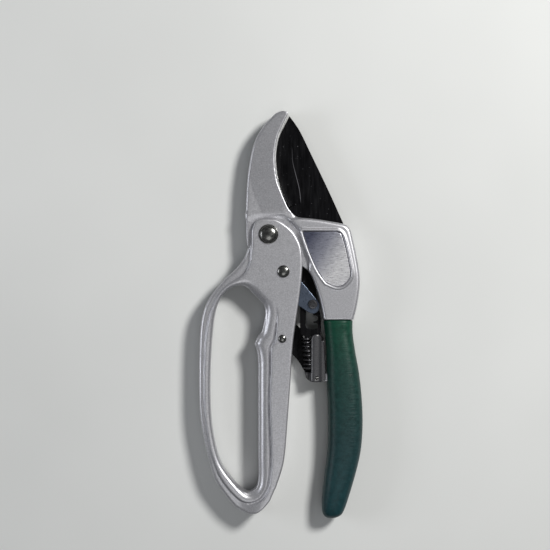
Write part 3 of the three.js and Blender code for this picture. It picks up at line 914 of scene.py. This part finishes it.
def saddle():
    """The spring's seat: a rounded back with a step beside the grip, and a channel for the spring."""
    s = Solid((18.5, -76.6, SADDLE_LOW), (30.0, -51.6, SADDLE_HIGH), GRID / 2)
    s.add(s.slab(s.plan(SADDLE), SADDLE_LOW, SADDLE_HIGH, 0.9))
    back_x, back_radius = 24.3, 3.35
    back = np.hypot(s.px[:, :, None] - back_x, s.z - (SADDLE_HIGH - back_radius)) - back_radius
    step = s.slab(23.0 - s.px, -THROUGH, 1.9)
    s.cut(-np.where(s.z > 0, np.minimum(back, step), DEEP_INSIDE), 0.6)
    start, end = np.array(SPRING_TOP), np.array(SPRING_BOTTOM)
    length = np.linalg.norm(end - start)
    along = (end - start) / length
    wx, wy = s.px - start[0], s.py - start[1]
    reach = wx * along[0] + wy * along[1]
    aside = (wx * along[1] - wy * along[0])[:, :, None]
    channel = np.hypot(aside, s.z) - (SPRING_RADIUS + WIRE_RADIUS + 0.25)
    s.cut(np.maximum(channel, (reach - length - 0.7)[:, :, None]))
    tail_way = np.maximum(-55.2 - s.py, s.px - 30.0)
    s.cut(s.slab(tail_way, -BLADE_HALF - GAP, BLADE_HALF + GAP))
    s.cut(s.slab(s.plan(lug(GAP)), -LUG_HALF - GAP, LUG_HALF + GAP))
    s.drill(SADDLE_PIN, 0.9, -9, 9)
    s.drill(CATCH_PIN, 1.2, -9, 0.1)
    return largest_part(s.mesh("spring_seat"))


def spring():
    """The coil, with its end turns closer together than the others."""
    sides, per_turn = 12, 36
    steps = SPRING_TURNS * per_turn
    start, end = np.array([*SPRING_TOP, 0.0]), np.array([*SPRING_BOTTOM, 0.0])
    along = (end - start) / np.linalg.norm(end - start)
    across = np.array([-along[1], along[0], 0.0])
    up = np.array([0.0, 0.0, 1.0])
    points, faces = [], []
    for i in range(steps + 1):
        t = i / steps
        turn = 2 * math.pi * SPRING_TURNS * t
        eased = 0.5 - 0.5 * math.cos(math.pi * t)
        place = start + (end - start) * (0.75 * t + 0.25 * eased)
        out = -across * math.cos(turn) + up * math.sin(turn)
        for k in range(sides):
            a = 2 * math.pi * k / sides
            ring = out * math.cos(a) + along * math.sin(a)
            points.append(place + SPRING_RADIUS * out + WIRE_RADIUS * ring)
    for i in range(steps):
        for k in range(sides):
            m = (k + 1) % sides
            faces.append((i * sides + k, i * sides + m, (i + 1) * sides + m, (i + 1) * sides + k))
    faces.append(tuple(range(sides))[::-1])
    faces.append(tuple(steps * sides + k for k in range(sides)))
    made = new_object("coil_spring", points, faces, smooth_shading=True)
    with edited(made.data) as bm:
        bmesh.ops.recalc_face_normals(bm, faces=bm.faces)
    return made


finish(anvil_frame(), "cast_silver", "frame_body", "anvil_frame")
finish(insert_strip(), "anvil_insert", "frame_body", "anvil_insert")
finish(nameplate(), "nameplate", "frame_body", "nameplate")
finish(grip(), "grip_vinyl", "frame_body", "grip_sleeve")
finish(saddle(), "dark_plastic", "frame_body", "spring_saddle")
finish(
    turned("main_rivet", PIVOT, [
        (0, -7.5), (PIVOT_SHANK - 0.3, -7.5), (PIVOT_SHANK, -7.2), (PIVOT_SHANK, 7.7), (4.9, 7.7),
        (5.1, 7.85), (5.05, 8.05), (4.75, 8.15), (4.6, 8.1), *dome(4.5, 8.2, 1.7),
    ]),
    "polished_steel", "frame_body", "pivot_rivet",
)
bush_bore, bush_half = 3.15, 4.6
finish(
    turned("main_bush", PIVOT, [
        (bush_bore, -bush_half), (BUSH_RADIUS, -bush_half), (BUSH_RADIUS, bush_half), (bush_bore, bush_half),
    ]),
    "bronze_bush", "frame_body", "pivot_bush",
)
finish(
    turned("rear_washer", PIVOT, [
        (3.3, -7.3), (3.5, -7.5), (5.0, -7.5), (5.2, -7.3), (5.2, WASHER_FLOOR - 0.1),
        (3.3, WASHER_FLOOR - 0.1),
    ]),
    "polished_steel", "frame_body", "pivot_washer",
)
finish(
    turned("saddle_cross_pin", SADDLE_PIN, [
        (0, -2.7), (0.6, -2.7), (0.8, -2.5), *dome(0.8, SADDLE_HIGH, 0.3, 6),
    ], 32),
    "polished_steel", "frame_body", "saddle_pin",
)
finish(
    turned("catch_stub", CATCH_PIN, [(0, -5.0), (0.9, -5.0), (1.1, -4.8), (1.1, -0.1), (0, -0.1)], 32),
    "polished_steel", "frame_body", "catch_pin",
)


# -------------------- blade body

# The line where the blade's ground face starts
BEVEL_LINE = [
    (11.9, 49.0), (12.2, 43.9), (12.6, 37.4), (14.4, 30.0), (15.5, 25.7), (16.3, 21.4), (16.9, 14.0),
]
EDGE_HALF = 0.12  # half the thickness left at the sharp edge
EDGE_END = 14.5  # how far down the sharp edge goes
CREASE_HALF = 0.22  # half the width of the painted highlight along the line where the ground face starts
ON_EDGE, ON_LINE = 0.05, 0.02  # a point that is nearer than this is on it
FACET = math.radians(6)  # a sharper bend than this shows on the blade


def distance(place, points):
    """From a place to the nearest of the points."""
    return np.min(np.linalg.norm(points - place, axis=1))


def blade():
    """The blade's outline, its ground face, its pivot hole and its tail's slot as one thick sheet."""
    steps = 6
    ground = smooth(BEVEL_LINE, steps)
    sides = [beside(BEVEL_LINE, offset, steps) for offset in (CREASE_HALF, -CREASE_HALF)]
    hole = circle(PIVOT, BUSH_RADIUS + 0.15)
    flat, faces = triangulated([BLADE, TAIL_SLOT, hole], [sides[0], ground, sides[1]])
    edge = smooth(CUTTING_EDGE)

    def half_thickness(p):
        sharp = distance(p, edge) < ON_EDGE and p[1] > EDGE_END
        return EDGE_HALF if sharp else BLADE_HALF

    made = thick_sheet("coated_blade", flat, faces, lambda p: -half_thickness(p), half_thickness)
    made.data.set_sharp_from_angle(angle=FACET)
    # Painted highlight along the ground face's crease, strongest low down and fading at both ends
    highlight_layer = made.data.attributes.new("crease_highlight", "FLOAT", "POINT")
    for vertex, place in enumerate(np.concatenate([flat, flat])):
        up = place[1]
        strength = (0.3 + 0.7 * ramp(-up, -42.0, -27.0)) * ramp(-up, -46.0, -43.0)
        strength *= ramp(up, 16.0, 19.0)
        highlight_layer.data[vertex].value = float(distance(place, ground) < ON_LINE) * float(strength)
    return made


finish(blade(), "black_coating", "blade_body", "blade")

coil = spring()
coil.data.materials.append(MATERIALS["spring_steel"])
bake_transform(coil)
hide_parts("opening_spring")


# -------------------- handle body


def loop_handle():
    """The handle casting: a flat bar and fork, and a loop whose bead stands between a groove and the hole."""
    s = Solid((-36.2, -145.0, -BAR_HALF), (17.7, 8.3, BAR_HALF), GRID)
    hole = s.slab(s.plan(FINGER_HOLE), -THROUGH, THROUGH)
    bar = s.plan(BAR)
    groove = s.plan(GROOVE)
    foot = ramp(s.px, -16.0, -2.0) * ramp(-s.py, 110.0, 122.0)
    flange = s.slab(
        s.plan(RAIL), -FLANGE_HALF, FLANGE_HALF, 1.6 - 0.7 * foot,
        lift=(BAR_HALF - FLANGE_HALF) * foot * ramp(groove, -0.3, 0.9),
    )
    s.add(flange)
    s.cut(hole, 1.0)
    rise = (BAR_HALF - RING_HALF) * ramp(s.py, -56.0, -34.0)
    ring = s.slab(groove, -RING_HALF, RING_HALF, 0.8, lift=rise)
    lip = (2.4 + 3.0 * ramp(s.px, -18.0, -6.0))[:, :, None]
    s.add(-blended_min(-ring, hole, lip), 0)
    s.add(s.slab(bar, -BAR_HALF, BAR_HALF, 0.9), 0)
    depth = 0.8 * (1 - ramp(s.py, -57.0, -40.0)) * ramp(s.px, -15.0, -8.0)
    crease = np.hypot(s.path(smooth(CREASE))[:, :, None], np.abs(s.z) - RING_HALF)
    s.cut(crease - depth[:, :, None], 0.4)
    s.cut(s.slab(s.plan(FORK), -FORK_HALF, FORK_HALF))
    s.drill(PIVOT, PIVOT_SHANK + 0.2)
    s.drill(PIVOT, 5.4, -THROUGH, WASHER_FLOOR)
    s.drill(LINK_RIVET, 2.0)
    s.drill(CATCH_RIVET, 1.4)
    return largest_part(s.mesh("loop_casting"))


def domed_rivet(name, centre, shank, head, height):
    """A rivet whose flat end lies just inside the handle's rear face and whose dome stands on the front."""
    rear, front = -BAR_HALF + 0.1, BAR_HALF + 0.1
    return turned(name, centre, [
        (0, rear), (shank - 0.2, rear), (shank, -BAR_HALF + 0.3), (shank, front), (head - 0.15, front),
        *dome(head, BAR_HALF + 0.25, height - 0.15),
    ], 64)


finish(loop_handle(), "cast_silver", "handle_body", "loop_handle")
finish(domed_rivet("second_rivet", LINK_RIVET, 1.9, 3.2, 1.5), "polished_steel", "handle_body", "link_rivet")
finish(domed_rivet("third_rivet", CATCH_RIVET, 1.3, 2.1, 1.1), "polished_steel", "handle_body", "catch_rivet")
washer_near, washer_far = LINK_OUT + 0.2, FORK_HALF - 0.1
for side, low, high in (("front", washer_near, washer_far), ("rear", -washer_far, -washer_near)):
    finish(
        turned("link_washer_" + side, LINK_RIVET, [(2.1, low), (3.6, low), (3.6, high), (2.1, high)], 48),
        "polished_steel", "handle_body", "link_spacer_" + side,
    )
finish(
    turned("catch_sleeve", CATCH_RIVET, [(1.5, -2.8), (2.7, -2.8), (2.7, 4.85), (1.5, 4.85)], 48),
    "dark_plastic", "handle_body", "catch_spacer",
)


# -------------------- link and catch


LINK_LOOPS = [LINK, circle(LINK_RIVET, 2.1, 32), circle(LINK_PIN, 1.55, 32)]

finish(plate("front_link", LINK_LOOPS, LINK_IN, LINK_OUT, 0.3), "link_steel", "link_body", "link_plate_front")
finish(plate("rear_link", LINK_LOOPS, -LINK_OUT, -LINK_IN, 0.3), "link_steel", "link_body", "link_plate_rear")
finish(
    turned("ratchet_pin", LINK_PIN, [
        (0, -4.6), (2.1, -4.6), (2.4, -4.3), (2.4, -3.4), (1.5, -3.4), (1.5, 3.4), (2.4, 3.4), (2.4, 4.1),
        (2.2, 4.4), (1.5, 4.5), (1.2, 4.2), (0, 4.2),
    ], 48),
    "spring_steel", "link_body", "link_pin",
)
finish(
    plate("catch_plate", [CATCH, circle(CATCH_RIVET, 1.5, 32)], -4.6, -3.1, 0.3),
    "black_coating", "catch_body", "catch_lever",
)


# -------------------- stage

FIELD = 0.286  # width of the view at the tool's mid-plane
LENS, SENSOR = 100.0, 36.0  # in millimetres
VIEW_CENTRE = (-0.0031, 0.0209)
FLOOR_HALF = 3.0
FLOOR_HEIGHT = -0.0004  # just clear of the tool


def floor():
    data = bpy.data.meshes.new("floor")
    signs = ((-1, -1), (1, -1), (1, 1), (-1, 1))
    data.from_pydata([(x * FLOOR_HALF, y * FLOOR_HALF, FLOOR_HEIGHT) for x, y in signs], [], [(0, 1, 2, 3)])
    made = add_to_scene("floor", data)
    s = Shader("floor_paint", (0.62, 0.63, 0.62), 0.0, 0.7)
    s.feed("Base Color", s.ramp(s.noise(180.0), [(0.3, (0.60, 0.61, 0.60)), (0.7, (0.66, 0.67, 0.66))]))
    made.data.materials.append(s.material)


def area_light(name, place, aim, size, power, color):
    data = bpy.data.lights.new(name, "AREA")
    data.shape = "ELLIPSE"
    data.size, data.size_y = size
    data.energy = power
    data.color = color
    made = add_to_scene(name, data)
    made.location = place
    made.rotation_euler = (Vector(aim) - Vector(place)).to_track_quat("-Z", "Y").to_euler()


def camera():
    data = bpy.data.cameras.new("camera")
    data.lens, data.sensor_width = LENS, SENSOR
    made = add_to_scene("camera", data)
    made.location = (*VIEW_CENTRE, ORIGIN[2] + FIELD / SENSOR * LENS)
    bpy.context.scene.camera = made


def world():
    made = bpy.data.worlds.new("studio")
    made.use_nodes = True
    background = made.node_tree.nodes["Background"]
    background.inputs["Color"].default_value = (0.80, 0.82, 0.85, 1.0)
    background.inputs["Strength"].default_value = 0.16
    bpy.context.scene.world = made


floor()
camera()
world()
area_light("top", (0.05, -0.44, 1.08), (0, -0.05, 0), (0.56, 0.56), 1.12, (1.0, 1.0, 1.0))
area_light("key", (0.50, 0.42, 0.70), (0, 0, 0), (0.22, 0.22), 9.0, (1.0, 0.99, 0.97))
area_light("fill", (-0.8, 0.05, 0.42), (0, 0, 0), (0.5, 0.3), 1.8, (0.93, 0.95, 1.0))
bpy.context.scene.view_settings.view_transform = "Standard"
